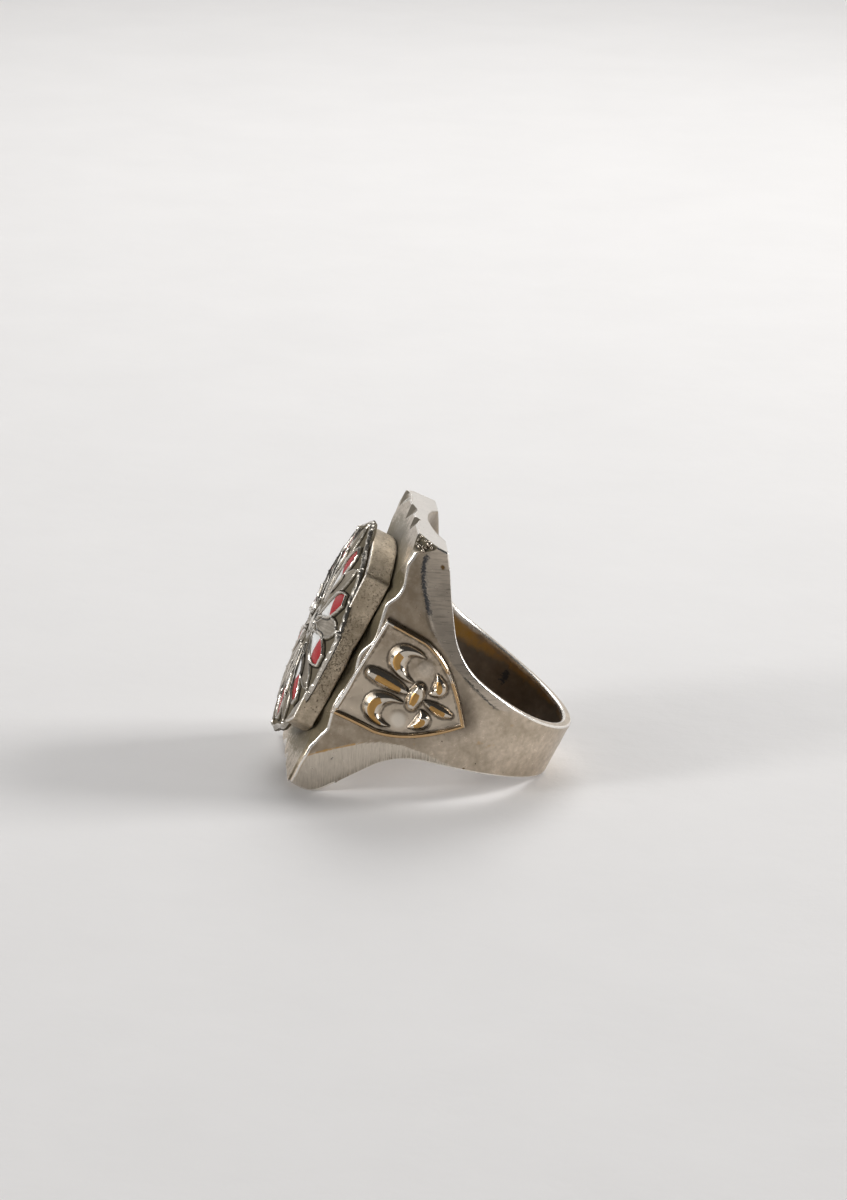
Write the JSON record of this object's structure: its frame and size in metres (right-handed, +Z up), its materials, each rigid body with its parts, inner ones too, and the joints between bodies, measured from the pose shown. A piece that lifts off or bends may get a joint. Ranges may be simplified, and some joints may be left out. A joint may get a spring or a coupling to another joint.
{
  "type": "signet-style biker ring",
  "caption": "Cast metal finger ring with a tall plate head, a domed oval rosette with enamelled petals on a riser block, and a raised fleur-de-lis shield on each shoulder.",
  "frame": {"origin": "centre of the bounding box at its lowest level, the surface the ring lies on", "axes": "+Z up, +X from the rosette toward the back of the band, -Y toward the shoulder that faces the camera; the finger axis leans 26 degrees from +Z toward +X"},
  "size_m": [0.0282, 0.023, 0.0243],
  "materials": {
    "worn_casting": "worn satin nickel silver, dark in the recesses, brassy on the rubbed edges",
    "riser_metal": "matt, finely pitted nickel silver",
    "rosette_metal": "polished nickel silver with grime between the petals",
    "white_enamel": "glossy white enamel",
    "red_enamel": "glossy deep red enamel"
  },
  "bodies": {
    "root": {"band": "worn_casting", "riser": "riser_metal", "rosette": "rosette_metal", "enamel_white_1": "white_enamel", "enamel_white_2": "white_enamel", "enamel_white_3": "white_enamel", "enamel_white_4": "white_enamel", "enamel_white_5": "white_enamel", "enamel_white_6": "white_enamel", "enamel_white_7": "white_enamel", "enamel_white_8": "white_enamel", "enamel_white_9": "white_enamel", "enamel_white_10": "white_enamel", "enamel_red_1": "red_enamel", "enamel_red_2": "red_enamel", "enamel_red_3": "red_enamel", "enamel_red_4": "red_enamel", "enamel_red_5": "red_enamel", "enamel_red_6": "red_enamel", "enamel_red_7": "red_enamel", "enamel_red_8": "red_enamel", "enamel_red_9": "red_enamel", "enamel_red_10": "red_enamel"}
  },
  "joints": []
}
